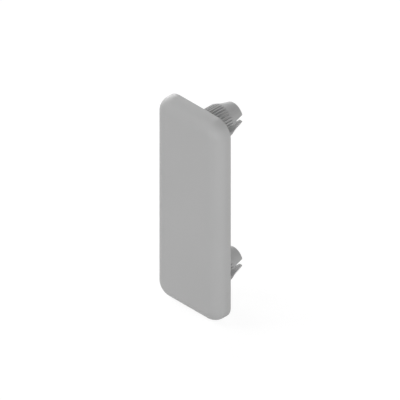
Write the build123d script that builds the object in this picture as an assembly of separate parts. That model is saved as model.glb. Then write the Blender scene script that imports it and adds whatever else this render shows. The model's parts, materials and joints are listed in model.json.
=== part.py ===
from build123d import *
import math
import os

# Push-in end cap for the cut end of an aluminium construction profile, moulded in one piece.
# Frame: the origin is the middle of the flat back face, which seats on the cut end of the profile.
# +X runs across the cap's width, +Z along its height, and +Y into the profile, along the plugs.
# All lengths are in millimetres and all angles in degrees.

# Cover plate
PLATE_WIDTH = 29.4
PLATE_HEIGHT = 79.4
PLATE_THICKNESS = 6.3
CORNER_RADIUS = 5.8
FRONT_EDGE_RADIUS = 4.4

# Press plugs, one above the other on the plate's middle line
PLUG_SPACING = 57.9
PLUG_LENGTH = 16.1
CREST_DIAMETER = 12.1
RIBBED_LENGTH = 10.1
NOSE_DIAMETER = 10.1
NOSE_LENGTH = 3.4
TIP_DIAMETER = 8.3
SHOULDER_RADIUS = 2.0

# Crush ribs round each plug
RIB_COUNT = 36
RIB_HEIGHT = 0.6
RIB_CREST_WIDTH = 0.4

# Hollow and slot that let the two prongs of a plug spring together
BORE_DIAMETER = 6.0
BORE_DEPTH = 12.5
SLOT_WIDTH = 2.5
SLOT_DEPTH = 11.5

# How far a cutter runs past the surface it opens
OVERCUT = 1.0

# The back face, with its normal pointing into the profile: local x is +Z and local y is +X.
BACK_FACE = Plane.ZX


def cover_plate():
    """The visible face: a slab with round corners and one large rounding along its front edge."""
    outline = Plane.XZ * RectangleRounded(PLATE_WIDTH, PLATE_HEIGHT, CORNER_RADIUS)
    slab = extrude(outline, PLATE_THICKNESS)
    front_face = slab.faces().sort_by(Axis.Y)[0]
    # The rounding stays inside the corner's own radius and inside the wall.
    rounding = min(FRONT_EDGE_RADIUS, 0.95 * CORNER_RADIUS, 0.95 * PLATE_THICKNESS)
    return fillet(front_face.edges(), rounding)


def plug_blank():
    """A turned blank on the Y axis: straight beside the plate, a lead-in, then a slender nose to the tip."""
    crest_radius = CREST_DIAMETER / 2
    nose_radius = NOSE_DIAMETER / 2
    tip_radius = TIP_DIAMETER / 2
    half_section = make_face(
        Polyline(
            (0, 0),
            (crest_radius, 0),
            (crest_radius, RIBBED_LENGTH),
            (nose_radius, PLUG_LENGTH - NOSE_LENGTH),
            (tip_radius, PLUG_LENGTH),
            (0, PLUG_LENGTH),
            close=True,
        )
    )
    # The crests round over into the lead-in, and the lead-in flows into the nose.
    bends = half_section.vertices().filter_by_position(
        Axis.Y, RIBBED_LENGTH / 2, PLUG_LENGTH - NOSE_LENGTH / 2
    )
    return revolve(fillet(bends, SHOULDER_RADIUS), Axis.Y)


def rib_grooves():
    """V grooves along the whole blank. Their straight roots run out by themselves in the lead-in."""
    crest_radius = CREST_DIAMETER / 2
    rib_pitch = math.pi * CREST_DIAMETER / RIB_COUNT
    half_mouth = (rib_pitch - RIB_CREST_WIDTH) / 2
    # The flanks run on past the crests, so that the cut is open outwards.
    half_mouth_past_crest = half_mouth * (RIB_HEIGHT + OVERCUT) / RIB_HEIGHT
    root_radius = crest_radius - RIB_HEIGHT
    mouth_radius = crest_radius + OVERCUT
    groove = make_face(
        Polyline(
            (root_radius, 0),
            (mouth_radius, half_mouth_past_crest),
            (mouth_radius, -half_mouth_past_crest),
            close=True,
        )
    )
    rib_angle = 360 / RIB_COUNT
    # A groove, not a crest, points along +Z.
    return [
        extrude(BACK_FACE * Rot(0, 0, rib_angle * number) * groove, PLUG_LENGTH)
        for number in range(RIB_COUNT)
    ]


def plug_bore():
    """The blind hole in the tip, which thins the prongs."""
    depth = BORE_DEPTH + OVERCUT
    mouth = BACK_FACE.offset(PLUG_LENGTH - BORE_DEPTH)
    return extrude(mouth * Circle(BORE_DIAMETER / 2), depth)


def plug_slot():
    """The flat slot from the tip, right across the plug, which parts it into an upper and a lower prong."""
    floor = BACK_FACE.offset(PLUG_LENGTH - SLOT_DEPTH)
    across = CREST_DIAMETER + 2 * OVERCUT
    return extrude(floor * Rectangle(SLOT_WIDTH, across), SLOT_DEPTH + OVERCUT)


def plug():
    """One press plug, standing on the back face at the origin."""
    return plug_blank() - rib_grooves() - plug_bore() - plug_slot()


def end_cap():
    """The whole moulding."""
    one_plug = plug()
    upper_plug = Pos(0, 0, PLUG_SPACING / 2) * one_plug
    lower_plug = Pos(0, 0, -PLUG_SPACING / 2) * one_plug
    return cover_plate() + upper_plug + lower_plug


os.makedirs("parts", exist_ok=True)
export_step(end_cap(), "parts/end_cap.step")
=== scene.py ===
"""Looks of a push-in end cap for a slotted aluminium profile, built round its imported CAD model.

The cap is one grey moulding: a cover plate with a softly rounded front edge, and on its back two
ribbed, hollow, slotted press plugs. Its surface is made anew here, to the size of the CAD solid and
in its place, because the grooves between the ribs are crisper and end earlier than the solid's. It
is dressed in the finish of a real moulding: a fine spark-eroded texture on the plate's front and
sides, which the cavity of the mould gives, and a smoother skin on the rest, which its core gives.
"""

import json
import logging
import math
from dataclasses import dataclass, field
from enum import Enum

import bpy
import numpy as np
from mathutils import Matrix, Vector


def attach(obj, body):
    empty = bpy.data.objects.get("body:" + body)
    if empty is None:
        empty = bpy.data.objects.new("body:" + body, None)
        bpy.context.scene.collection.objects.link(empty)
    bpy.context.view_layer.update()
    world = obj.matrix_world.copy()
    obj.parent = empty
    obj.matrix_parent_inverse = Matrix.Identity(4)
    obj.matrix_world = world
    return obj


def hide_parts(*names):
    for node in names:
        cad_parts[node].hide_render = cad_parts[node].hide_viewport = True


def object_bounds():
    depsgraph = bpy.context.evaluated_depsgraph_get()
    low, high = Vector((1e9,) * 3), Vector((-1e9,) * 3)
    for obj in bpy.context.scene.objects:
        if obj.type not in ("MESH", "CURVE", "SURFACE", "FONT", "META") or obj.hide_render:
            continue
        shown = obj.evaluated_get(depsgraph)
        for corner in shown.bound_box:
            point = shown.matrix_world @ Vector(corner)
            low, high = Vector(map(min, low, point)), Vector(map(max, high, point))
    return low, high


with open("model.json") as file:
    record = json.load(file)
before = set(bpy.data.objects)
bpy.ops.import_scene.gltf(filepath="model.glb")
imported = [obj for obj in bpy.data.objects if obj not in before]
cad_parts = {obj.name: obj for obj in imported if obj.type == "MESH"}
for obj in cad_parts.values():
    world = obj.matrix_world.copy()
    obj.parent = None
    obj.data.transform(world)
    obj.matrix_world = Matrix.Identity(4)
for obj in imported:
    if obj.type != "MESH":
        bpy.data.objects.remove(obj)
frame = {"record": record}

LOG = logging.getLogger("end_cap")
MM = 0.001
CAD_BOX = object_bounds()
PLUG_PLACES = tuple(mount["pos_m"] for mount in frame["record"]["mounts"] if mount["kind"] == "pin")
Value = float | bpy.types.NodeSocket


class Side(Enum):
    """The two halves of the mould, named by what each one shapes."""

    CAVITY = "front and sides"
    CORE = "back and plugs"


class Rule(Enum):
    """How two values make one."""

    PRODUCT = "MULTIPLY"
    LARGER = "MAXIMUM"


@dataclass(frozen=True)
class Skin:
    """How one half of the mould leaves the plastic.

    Attributes:
        side: The half of the mould.
        roughness: Mean roughness of the surface.
        sheen_change: How far the roughness swings from grain to grain.
        relief: Height of the texture's relief, as a share of the material's.
    """

    side: Side
    roughness: float
    sheen_change: float
    relief: float


def new_group(name: str, inputs: dict, outputs: tuple) -> bpy.types.NodeTree:
    """Starts a shader node group with named sockets.

    Args:
        name: The group's name.
        inputs: Default value of each float input by name; None makes a vector input.
        outputs: The names of the float outputs.

    Returns:
        The group, with its input and output nodes placed.
    """
    group = bpy.data.node_groups.new(name, "ShaderNodeTree")
    for socket, value in inputs.items():
        kind = "NodeSocketVector" if value is None else "NodeSocketFloat"
        made = group.interface.new_socket(name=socket, in_out="INPUT", socket_type=kind)
        if value is not None:
            made.default_value = value
    for socket in outputs:
        group.interface.new_socket(name=socket, in_out="OUTPUT", socket_type="NodeSocketFloat")
    group.nodes.new("NodeGroupInput")
    group.nodes.new("NodeGroupOutput")
    return group


def fed(tree: bpy.types.NodeTree, socket: bpy.types.NodeSocket, value: Value) -> None:
    """Gives an input its value.

    Args:
        tree: The nodes.
        socket: The input.
        value: A number to set it to, or a socket to link to it.
    """
    if isinstance(value, bpy.types.NodeSocket):
        tree.links.new(value, socket)
    else:
        socket.default_value = value


def mixed(tree: bpy.types.NodeTree, share: Value, first: Value, second: Value) -> bpy.types.NodeSocket:
    """Adds a mix of two values: first (1 - share) + second share.

    Args:
        tree: The nodes it goes into.
        share: The second value's share.
        first: The value at a share of 0.
        second: The value at a share of 1.

    Returns:
        The socket that puts the mix out.
    """
    mix = tree.nodes.new("ShaderNodeMix")
    mix.data_type = "FLOAT"
    for socket, value in (("Factor", share), ("A", first), ("B", second)):
        fed(tree, mix.inputs[socket], value)
    return mix.outputs["Result"]


def combined(tree: bpy.types.NodeTree, rule: Rule, first: Value, second: Value) -> bpy.types.NodeSocket:
    """Makes one value of two.

    Args:
        tree: The nodes it goes into.
        rule: How.
        first: The first value.
        second: The second value.

    Returns:
        The socket that puts the result out.
    """
    math_node = tree.nodes.new("ShaderNodeMath")
    math_node.operation = rule.value
    fed(tree, math_node.inputs[0], first)
    fed(tree, math_node.inputs[1], second)
    return math_node.outputs["Value"]


@dataclass(frozen=True)
class MouldGrain:
    """The even, fine, rounded pitting that spark erosion leaves in a mould.

    Two layers of noise are mixed: small pits, and a broader unevenness of the same kind. A third
    and very wide one is the faint drift of tone that the plastic takes as it flows and cools.
    Each detail is the number of finer layers that are added to a layer.
    """

    name: str = "mould_grain"
    pit_size: float = 0.2 * MM
    pit_detail: float = 2.0
    swell_size: float = 0.7 * MM
    swell_detail: float = 1.0
    swell_share: float = 0.35
    flow_size: float = 24.0 * MM
    flow_detail: float = 0.0

    def group(self) -> bpy.types.NodeTree:
        """Builds the group.

        Returns:
            A group with the input Vector and the outputs Relief and Flow, each from 0 to 1.
        """
        group = new_group(self.name, {"Vector": None}, ("Relief", "Flow"))
        end = group.nodes["Group Output"]
        pits = self.noise(group, self.pit_size, self.pit_detail)
        swells = self.noise(group, self.swell_size, self.swell_detail)
        fed(group, end.inputs["Relief"], mixed(group, self.swell_share, pits, swells))
        fed(group, end.inputs["Flow"], self.noise(group, self.flow_size, self.flow_detail))
        return group

    @staticmethod
    def noise(group: bpy.types.NodeTree, size: float, detail: float) -> bpy.types.NodeSocket:
        """Adds a layer of noise.

        Args:
            group: The group it goes into.
            size: Distance from one bump to the next, in metres.
            detail: Number of finer layers added to it.

        Returns:
            The socket that puts the noise out.
        """
        texture = group.nodes.new("ShaderNodeTexNoise")
        texture.inputs["Scale"].default_value = 1.0 / size
        texture.inputs["Detail"].default_value = detail
        fed(group, texture.inputs["Vector"], group.nodes["Group Input"].outputs["Vector"])
        return texture.outputs["Fac"]


@dataclass(frozen=True)
class PartingMask:
    """Tells the two halves of the mould apart: 0 on the plate's front and sides, 1 on its back and
    on the plugs.

    The mould parts round the edge of the plate's flat back, the plane y = 0. The mask rises from 0
    to 1 over a short blend just before that plane.
    """

    name: str = "parting_mask"
    start: float = -0.06 * MM
    blend: float = 0.05 * MM

    def group(self) -> bpy.types.NodeTree:
        """Builds the group.

        Returns:
            A group with the input Vector and the output Core.
        """
        group = new_group(self.name, {"Vector": None}, ("Core",))
        split = group.nodes.new("ShaderNodeSeparateXYZ")
        ramp = group.nodes.new("ShaderNodeMapRange")
        ramp.inputs["From Min"].default_value = self.start
        ramp.inputs["From Max"].default_value = self.start + self.blend
        fed(group, split.inputs["Vector"], group.nodes["Group Input"].outputs["Vector"])
        fed(group, ramp.inputs["Value"], split.outputs["Y"])
        fed(group, group.nodes["Group Output"].inputs["Core"], ramp.outputs["Result"])
        return group


@dataclass(frozen=True)
class MouldedPlastic:
    """Grey plastic, coloured right through, as it comes out of the mould."""

    name: str = "moulded_grey_plastic"
    grey: float = 0.41
    # The drift is partly a random drift of tone with the flow and partly painted shade in the relief's
    # pits.
    tone_drift_and_pit_shade: float = 0.04
    # Share of the drift that follows the relief: painted shade that makes the pits darker.
    painted_pit_shade_share: float = 0.5
    relief_height: float = 0.08 * MM
    refraction: float = 1.46
    front: Skin = Skin(Side.CAVITY, roughness=0.55, sheen_change=0.12, relief=1.0)
    back: Skin = Skin(Side.CORE, roughness=0.5, sheen_change=0.06, relief=0.4)

    def material(self) -> bpy.types.Material:
        """Builds the material.

        Base colour is the grey, moved up and down by half its drift, partly with the flow, a random
        drift of tone, and partly with the relief, as painted shade that darkens its pits. Roughness
        is each skin's own, moved up and down by
        half its change with the relief. The bump is the relief times each skin's share. Both skins
        are blended by the parting mask.

        Returns:
            The new material.
        """
        material = bpy.data.materials.new(self.name)
        material.use_nodes = True
        tree = material.node_tree
        shader = tree.nodes["Principled BSDF"]
        shader.inputs["IOR"].default_value = self.refraction

        place = tree.nodes.new("ShaderNodeTexCoord").outputs["Object"]
        grain = self.placed(tree, MouldGrain().group(), place)
        relief, flow = grain.outputs["Relief"], grain.outputs["Flow"]
        core = self.placed(tree, PartingMask().group(), place).outputs["Core"]

        # Painted shade: the relief's share of the tone makes its pits darker; the flow's share is
        # random tone.
        shade = mixed(tree, self.painted_pit_shade_share, flow, relief)
        fed(tree, shader.inputs["Base Color"], self.tone(tree, shade))

        front, back = (self.swing(tree, relief, skin) for skin in (self.front, self.back))
        fed(tree, shader.inputs["Roughness"], mixed(tree, core, front, back))

        share = mixed(tree, core, self.front.relief, self.back.relief)
        bump = tree.nodes.new("ShaderNodeBump")
        bump.inputs["Distance"].default_value = self.relief_height
        fed(tree, bump.inputs["Height"], combined(tree, Rule.PRODUCT, relief, share))
        fed(tree, shader.inputs["Normal"], bump.outputs["Normal"])
        return material

    def tone(self, tree: bpy.types.NodeTree, shade: bpy.types.NodeSocket) -> bpy.types.NodeSocket:
        """Adds the grey, half its drift darker where the shade is 0 and lighter where it is 1.

        Args:
            tree: The material's nodes.
            shade: Random tone from the flow, mixed with painted shade that darkens the relief's pits.

        Returns:
            The socket that puts the colour out.
        """
        mix = tree.nodes.new("ShaderNodeMix")
        mix.data_type = "RGBA"
        colours = {socket.name: socket for socket in mix.inputs if socket.type == "RGBA"}
        for name, drift in (("A", -self.tone_drift_and_pit_shade / 2), ("B", self.tone_drift_and_pit_shade / 2)):
            colours[name].default_value = (*[self.grey + drift] * 3, 1.0)
        fed(tree, mix.inputs["Factor"], shade)
        return next(socket for socket in mix.outputs if socket.type == "RGBA")

    @staticmethod
    def placed(
        tree: bpy.types.NodeTree, group: bpy.types.NodeTree, place: bpy.types.NodeSocket
    ) -> bpy.types.Node:
        """Places a group in a material.

        Args:
            tree: The material's nodes.
            group: The group.
            place: The socket that puts out the coordinates it reads.

        Returns:
            The group's node.
        """
        node = tree.nodes.new("ShaderNodeGroup")
        node.node_tree = group
        fed(tree, node.inputs["Vector"], place)
        return node

    @staticmethod
    def swing(
        tree: bpy.types.NodeTree, relief: bpy.types.NodeSocket, skin: Skin
    ) -> bpy.types.NodeSocket:
        """Adds a skin's roughness, which follows the relief.

        Args:
            tree: The material's nodes.
            relief: The relief, from 0 to 1.
            skin: The skin.

        Returns:
            The socket that puts the roughness out.
        """
        ramp = tree.nodes.new("ShaderNodeMapRange")
        ramp.label = f"roughness of the {skin.side.value}"
        ramp.inputs["To Min"].default_value = skin.roughness - skin.sheen_change / 2
        ramp.inputs["To Max"].default_value = skin.roughness + skin.sheen_change / 2
        fed(tree, ramp.inputs["Value"], relief)
        return ramp.outputs["Result"]


class Joining(Enum):
    """How one closed form is joined to another."""

    ADD = "UNION"
    CUT = "DIFFERENCE"


@dataclass(frozen=True)
class Form:
    """A closed form, as rings of points that are joined in order and closed by flat ends.

    Attributes:
        rings: Points, as an array of ring, place on the ring and coordinate. Seen from beyond the
            last ring, each ring runs anticlockwise.
    """

    rings: np.ndarray

    def mesh(self, name: str) -> bpy.types.Mesh:
        """Makes the form's mesh. Point j of ring i is joined to point j + 1 and to ring i + 1.

        Args:
            name: The mesh's name.

        Returns:
            The mesh.
        """
        count, around = self.rings.shape[:2]
        index = np.arange(count * around).reshape(count, around)
        following = np.roll(index, -1, axis=1)
        walls = np.stack([index[:-1], following[:-1], following[1:], index[1:]], axis=-1).reshape(-1, 4)
        faces = walls.tolist() + [index[0, ::-1].tolist(), index[-1].tolist()]
        made = bpy.data.meshes.new(name)
        made.from_pydata(self.rings.reshape(-1, 3).tolist(), [], faces)
        return made


def joined(base: bpy.types.Mesh, other: bpy.types.Mesh, how: Joining) -> bpy.types.Mesh:
    """Adds one closed mesh to another, or cuts it out.

    Args:
        base: The mesh to change.
        other: The mesh that is added or cut out.
        how: Which of the two.

    Returns:
        A new mesh; the two that went in are removed.
    """
    workpiece = put_in_scene("workpiece", base)
    tool = put_in_scene("tool", other)
    boolean = workpiece.modifiers.new("join", "BOOLEAN")
    boolean.operation = how.value
    boolean.solver = "EXACT"
    boolean.object = tool
    graph = bpy.context.evaluated_depsgraph_get()
    made = bpy.data.meshes.new_from_object(workpiece.evaluated_get(graph))
    for used, data in ((workpiece, base), (tool, other)):
        bpy.data.objects.remove(used)
        bpy.data.meshes.remove(data)
    return made


@dataclass(frozen=True)
class CoverPlate:
    """The visible face: a slab with round corners and one large rounding along its front edge.

    Its flat back face is the plane y = 0, and its front looks along -y. A narrow flat margin inside
    each edge keeps the faces next to it evenly shaded.
    """

    width: float = 29.4 * MM
    height: float = 79.4 * MM
    thickness: float = 6.3 * MM
    corner_radius: float = 5.8 * MM
    edge_radius: float = 4.4 * MM
    edge_steps: int = 16
    corner_steps: int = 24
    flat_margin: float = 0.2 * MM

    def outline(self, inset: np.ndarray, y: np.ndarray) -> np.ndarray:
        """Draws rings of the slab's outline, moved in from its side wall.

        Each corner is a quarter circle round the same centre, whose radius is the corner radius less
        the inset, so the straight sides move in by the inset too.

        Args:
            inset: How far each ring is moved in.
            y: Where each ring lies across the slab.

        Returns:
            The rings.
        """
        turn = np.linspace(0.0, np.pi / 2, self.corner_steps + 1)
        quarters = np.arange(4)[:, None] * np.pi / 2
        angle = (quarters + turn).ravel()
        corner = np.repeat(quarters.ravel() + np.pi / 4, turn.size)
        centre_x = np.sign(np.cos(corner)) * (self.width / 2 - self.corner_radius)
        centre_z = np.sign(np.sin(corner)) * (self.height / 2 - self.corner_radius)
        radius = (self.corner_radius - inset)[:, None]
        x = centre_x + radius * np.cos(angle)
        z = centre_z + radius * np.sin(angle)
        return np.stack([x, np.broadcast_to(y[:, None], x.shape), z], axis=-1)

    def form(self) -> Form:
        """Shapes the slab. The rounding is a quarter circle: at an angle t from the side wall its
        inset is r (1 - cos t), and it stands r sin t in front of where it starts.

        Returns:
            The slab.
        """
        turn = np.linspace(0.0, np.pi / 2, self.edge_steps + 1)
        inset = self.edge_radius * (1.0 - np.cos(turn))
        y = self.edge_radius - self.thickness - self.edge_radius * np.sin(turn)
        margin = self.flat_margin
        inset = np.concatenate([[margin, 0.0, 0.0], inset, [inset[-1] + margin]])
        y = np.concatenate([[0.0, 0.0, -margin], y, [y[-1]]])
        return Form(self.outline(inset, y))


@dataclass(frozen=True)
class PressPlug:
    """A press plug on the y axis: ribbed beside the plate, then a lead-in and a slender nose.

    A blind bore from the tip and a flat slot right across part it into two prongs that spring. The
    blank starts an overlap inside the plate, and the bore and slot end an overlap past the plug.
    """

    length: float = 16.1 * MM
    crest_diameter: float = 12.1 * MM
    ribbed_length: float = 10.1 * MM
    nose_diameter: float = 10.1 * MM
    nose_length: float = 3.4 * MM
    tip_diameter: float = 8.3 * MM
    shoulder_radius: float = 2.0 * MM
    rib_count: int = 36
    rib_height: float = 0.6 * MM
    crest_width: float = 0.3 * MM
    root_width: float = 0.4 * MM
    groove_length: float = 9.6 * MM
    groove_end_slope: float = 0.5
    bore_diameter: float = 6.0 * MM
    bore_depth: float = 12.5 * MM
    slot_width: float = 2.5 * MM
    slot_depth: float = 11.5 * MM
    overlap: float = 1.0 * MM
    bend_steps: int = 8
    end_steps: int = 33
    bore_steps: int = 96

    def meridian(self) -> np.ndarray:
        """Draws the smooth line from the plate to the tip that crests, lead-in and nose follow. It
        is three straight runs with their two bends rounded.

        Returns:
            Places along y and radii there, as an array of two rows.
        """
        ends = np.array(
            [
                (-self.overlap, self.crest_diameter / 2),
                (self.ribbed_length, self.crest_diameter / 2),
                (self.length - self.nose_length, self.nose_diameter / 2),
                (self.length, self.tip_diameter / 2),
            ]
        )
        line = [ends[:1]]
        for before, bend, after in zip(ends, ends[1:], ends[2:]):
            line.append(self.rounded(before, bend, after))
        line.append(ends[-1:])
        along, radius = np.concatenate(line).T
        groove_ends = np.linspace(self.groove_length, self.length - self.nose_length, self.end_steps)
        y = np.union1d(along, groove_ends)
        return np.stack([y, np.interp(y, along, radius)])

    def rounded(self, before: np.ndarray, bend: np.ndarray, after: np.ndarray) -> np.ndarray:
        """Draws the arc that rounds a bend between two straight runs.

        It touches both runs at r tan(turn / 2) from the bend. Between those points p and q it is
        the sum of p, bend and q weighted by (1 - t)^2, 2 t (1 - t) and t^2, which for so small a
        turn is the arc to within a micrometre.

        Args:
            before: Where the first run starts.
            bend: Where the runs meet.
            after: Where the second run ends.

        Returns:
            Points along the arc.
        """
        arriving = (bend - before) / np.linalg.norm(bend - before)
        leaving = (after - bend) / np.linalg.norm(after - bend)
        turn = math.acos(float(arriving @ leaving))
        reach = self.shoulder_radius * math.tan(turn / 2)
        t = np.linspace(0.0, 1.0, self.bend_steps)[:, None]
        start, end = bend - arriving * reach, bend + leaving * reach
        return (1 - t) ** 2 * start + 2 * t * (1 - t) * bend + t**2 * end

    def blank(self) -> Form:
        """Shapes the ribbed outside.

        The smooth line has the radius R(y). The floor of a groove keeps the radius of the root and
        then rises at an even slope until it meets R, and d(y) is its depth under R. Across a groove
        the radius is R - d over the width of the root, and rises to R where the half width is the
        root's plus d times the slope of the flanks. Elsewhere it is R. Angles are half widths
        divided by the radius of the crests.

        Returns:
            The blank.
        """
        y, smooth = self.meridian()
        crest_radius = self.crest_diameter / 2
        floor = crest_radius - self.rib_height
        floor = floor + self.groove_end_slope * np.maximum(y - self.groove_length, 0.0)
        depth = np.clip(smooth - floor, 0.0, None)
        pitch = 2 * np.pi * crest_radius / self.rib_count
        flank = ((pitch - self.crest_width - self.root_width) / 2) / self.rib_height
        root = np.full_like(y, self.root_width / 2) / crest_radius
        mouth = root + flank * depth / crest_radius
        half_pitch = np.full_like(y, np.pi / self.rib_count)
        offsets = np.stack([-mouth, -root, root, mouth, half_pitch], axis=-1)
        depths = np.stack([0 * depth, depth, depth, 0 * depth, 0 * depth], axis=-1)
        grooves = np.arange(self.rib_count) * 2 * np.pi / self.rib_count
        angle = (grooves[:, None] + offsets[:, None, :]).reshape(y.size, -1)
        radius = smooth[:, None] - np.tile(depths, self.rib_count)
        along = np.broadcast_to(y[:, None], angle.shape)
        return Form(np.stack([radius * np.sin(angle), along, radius * np.cos(angle)], axis=-1))

    def bore(self) -> Form:
        """Shapes the blind hole: a cylinder from its floor to past the tip.

        Returns:
            What is cut out.
        """
        y = np.array([self.length - self.bore_depth, self.length + self.overlap])
        angle = np.arange(self.bore_steps) * 2 * np.pi / self.bore_steps
        x = np.broadcast_to(self.bore_diameter / 2 * np.sin(angle), (y.size, angle.size))
        z = np.broadcast_to(self.bore_diameter / 2 * np.cos(angle), x.shape)
        return Form(np.stack([x, np.broadcast_to(y[:, None], x.shape), z], axis=-1))

    def slot(self) -> Form:
        """Shapes the slot: a flat box from its floor to past the tip, and right across.

        Returns:
            What is cut out.
        """
        y = np.array([self.length - self.slot_depth, self.length + self.overlap])
        reach, half = self.crest_diameter / 2 + self.overlap, self.slot_width / 2
        x = np.broadcast_to(np.array([-reach, reach, reach, -reach]), (y.size, 4))
        z = np.broadcast_to(np.array([half, half, -half, -half]), x.shape)
        return Form(np.stack([x, np.broadcast_to(y[:, None], x.shape), z], axis=-1))

    def mesh(self) -> bpy.types.Mesh:
        """Makes the plug's mesh: the blank, less its bore and its slot.

        Returns:
            The mesh.
        """
        hollow = joined(self.blank().mesh("plug"), self.bore().mesh("bore"), Joining.CUT)
        return joined(hollow, self.slot().mesh("slot"), Joining.CUT)


@dataclass
class EndCap:
    """The whole cap, one moulding, in place of the plainer CAD solid of the same size.

    Attributes:
        node: The CAD solid's name.
        slot: The record's material slot; not used.
        crease: Degrees between two faces from which their edge shows sharp.
        plate: The cover plate.
        plug: The press plug, which is built at each of its places.
        finish: The plastic.
    """

    node: str = "end_cap"
    slot: str = "moulding"
    crease: float = 28.0
    plate: CoverPlate = field(default_factory=CoverPlate)
    plug: PressPlug = field(default_factory=PressPlug)
    finish: MouldedPlastic = field(default_factory=MouldedPlastic)

    def build(self) -> None:
        """Builds the cap, dresses it and lets it stand for the CAD solid."""
        mesh = self.plate.form().mesh("cover_plate")
        for place in PLUG_PLACES:
            plug = self.plug.mesh()
            plug.transform(Matrix.Translation((place[0], 0.0, place[2])))
            mesh = joined(mesh, plug, Joining.ADD)
        mesh.polygons.foreach_set("use_smooth", np.ones(len(mesh.polygons), dtype=bool))
        mesh.set_sharp_from_angle(angle=math.radians(self.crease))
        mesh.materials.clear()
        mesh.materials.append(self.finish.material())
        cap = put_in_scene("moulded_end_cap", mesh)
        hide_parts(self.node)
        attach(cap, "root")
        LOG.info("built %s of %d faces in %s", cap.name, len(mesh.polygons), self.finish.name)


def towards(azimuth: float, elevation: float) -> Vector:
    """Finds the unit direction from the cap to a place in the studio.

    Args:
        azimuth: Degrees round the cap, from straight before its face towards its right side.
        elevation: Degrees above level.

    Returns:
        The direction in the cap's frame.
    """
    turn, tilt = math.radians(azimuth), math.radians(elevation)
    return Vector((math.sin(turn) * math.cos(tilt), -math.cos(turn) * math.cos(tilt), math.sin(tilt)))


def put_in_scene(name: str, data: bpy.types.ID) -> bpy.types.Object:
    """Makes an object and links it to the scene.

    Args:
        name: The object's name.
        data: Its mesh, camera or lamp.

    Returns:
        The object.
    """
    made = bpy.data.objects.new(name, data)
    bpy.context.scene.collection.objects.link(made)
    return made


@dataclass(frozen=True)
class SoftBox:
    """A square soft box that faces the cap.

    Attributes:
        name: The lamp's name.
        azimuth: Degrees round the cap from its face, towards its right side.
        elevation: Degrees above level.
        level: Its light on a card that faces it; at 1 it alone shows a white card as white.
        distance: Metres from the cap.
        spread: Degrees that the box spans, seen from the cap.
    """

    name: str
    azimuth: float
    elevation: float
    level: float
    distance: float = 2.5
    spread: float = 30.0

    def build(self) -> None:
        """Hangs the lamp. A square of power P lights a card at distance d to P / (pi d)^2."""
        data = bpy.data.lights.new(self.name, "AREA")
        data.shape = "SQUARE"
        data.size = 2 * self.distance * math.tan(math.radians(self.spread / 2))
        data.energy = self.level * (math.pi * self.distance) ** 2
        lamp = put_in_scene(self.name, data)
        side = towards(self.azimuth, self.elevation)
        lamp.location = side * self.distance
        lamp.rotation_mode = "QUATERNION"
        lamp.rotation_quaternion = side.to_track_quat("Z", "Y")
        LOG.info("hung %s", self.name)


@dataclass(frozen=True)
class Surroundings:
    """Even light from all round, which the camera sees as plain white."""

    level: float = 0.22
    seen_level: float = 1.0

    def build(self) -> None:
        """Makes the world. Its strength is the level, or the seen level for a ray from the camera,
        one that gloss throws back or one that passes through glass."""
        world = bpy.data.worlds.new("surroundings")
        world.use_nodes = True
        bpy.context.scene.world = world
        tree = world.node_tree
        background = tree.nodes["Background"]
        background.inputs["Color"].default_value = (1.0, 1.0, 1.0, 1.0)
        strength = mixed(tree, seen_rays(tree), self.level, self.seen_level)
        fed(tree, background.inputs["Strength"], strength)


def seen_rays(tree: bpy.types.NodeTree) -> bpy.types.NodeSocket:
    """Adds a mask of the rays that show a background: camera, gloss and glass.

    Args:
        tree: The nodes of a world or a material.

    Returns:
        The socket that is 1 for those rays and 0 for the rest.
    """
    path = tree.nodes.new("ShaderNodeLightPath")
    mask = path.outputs["Is Camera Ray"]
    for ray in ("Is Glossy Ray", "Is Transmission Ray"):
        mask = combined(tree, Rule.LARGER, mask, path.outputs[ray])
    return mask


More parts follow.
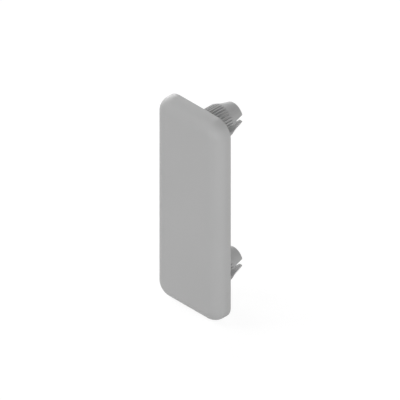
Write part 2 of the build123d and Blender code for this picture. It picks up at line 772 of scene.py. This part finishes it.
@dataclass(frozen=True)
class Floor:
    """A plain pale floor just under the cap, which takes its shadow and otherwise shows as white.

    Attributes:
        half_side: Half the side of the square.
        gap: Distance under the cap.
        tone: How pale the paint is.
        roughness: How matt it is.
        gloss: How much it mirrors.
        white_share: Share of plain white in what the rays that show a background see.
        white_level: Brightness of that white, so that both shares together come out as white.
    """

    half_side: float = 3.0
    gap: float = 0.1 * MM
    tone: float = 0.9
    roughness: float = 1.0
    gloss: float = 0.0
    white_share: float = 0.78
    white_level: float = 1.11

    def build(self) -> None:
        """Lays the floor."""
        height = CAD_BOX[0].z - self.gap
        quarters = ((-1, -1), (1, -1), (1, 1), (-1, 1))
        corners = [(x * self.half_side, y * self.half_side, height) for x, y in quarters]
        mesh = bpy.data.meshes.new("floor")
        mesh.from_pydata(corners, [], [(0, 1, 2, 3)])
        mesh.materials.append(self.material())
        put_in_scene("floor", mesh)
        LOG.info("laid floor")

    def material(self) -> bpy.types.Material:
        """Builds the floor's paint. To the rays that show a background it is mostly plain white, and
        the rest is the lit paint, with the shadow on it.

        Returns:
            The new material.
        """
        material = bpy.data.materials.new("pale_floor")
        material.use_nodes = True
        tree = material.node_tree
        paint = tree.nodes["Principled BSDF"]
        paint.inputs["Base Color"].default_value = (self.tone, self.tone, self.tone, 1.0)
        paint.inputs["Roughness"].default_value = self.roughness
        paint.inputs["Specular IOR Level"].default_value = self.gloss
        white = tree.nodes.new("ShaderNodeEmission")
        white.inputs["Strength"].default_value = self.white_level
        blend = tree.nodes.new("ShaderNodeMixShader")
        share = combined(tree, Rule.PRODUCT, seen_rays(tree), self.white_share)
        fed(tree, blend.inputs["Fac"], share)
        fed(tree, blend.inputs[1], paint.outputs["BSDF"])
        fed(tree, blend.inputs[2], white.outputs["Emission"])
        fed(tree, tree.nodes["Material Output"].inputs["Surface"], blend.outputs["Shader"])
        return material


@dataclass(frozen=True)
class Camera:
    """An orthographic camera in a true isometric view of the cap's front, right side and top."""

    azimuth: float = 45.0
    elevation: float = math.degrees(math.atan(1 / math.sqrt(2)))
    view_width: float = 131.32 * MM
    aim: tuple[float, float, float] = (-0.475 * MM, 0.879 * MM, 1.354 * MM)
    distance: float = 0.6
    near: float = 0.01
    far: float = 10.0

    def build(self) -> None:
        """Sets the camera up and makes it the scene's."""
        data = bpy.data.cameras.new("camera")
        data.type = "ORTHO"
        data.ortho_scale = self.view_width
        data.clip_start = self.near
        data.clip_end = self.far
        camera = put_in_scene("camera", data)
        back = towards(self.azimuth, self.elevation)
        camera.location = Vector(self.aim) + back * self.distance
        camera.rotation_mode = "QUATERNION"
        camera.rotation_quaternion = back.to_track_quat("Z", "Y")
        bpy.context.scene.camera = camera
        LOG.info("set camera")


@dataclass
class Studio:
    """Everything round the cap."""

    camera: Camera = field(default_factory=Camera)
    surroundings: Surroundings = field(default_factory=Surroundings)
    floor: Floor = field(default_factory=Floor)
    lamps: tuple[SoftBox, ...] = (
        SoftBox("front_box", azimuth=42.0, elevation=22.0, level=0.455),
        SoftBox("left_box", azimuth=-55.0, elevation=39.0, level=0.35),
        SoftBox("right_box", azimuth=95.0, elevation=25.0, level=0.215),
        SoftBox("rear_box", azimuth=-115.0, elevation=13.0, level=0.76),
    )

    def build(self) -> None:
        """Builds the studio."""
        self.camera.build()
        self.surroundings.build()
        self.floor.build()
        for lamp in self.lamps:
            lamp.build()
        bpy.context.scene.view_settings.view_transform = "Standard"


def main() -> None:
    """Builds the cap and then the studio."""
    logging.basicConfig(level=logging.INFO)
    EndCap().build()
    Studio().build()


if __name__ == "__main__":
    main()
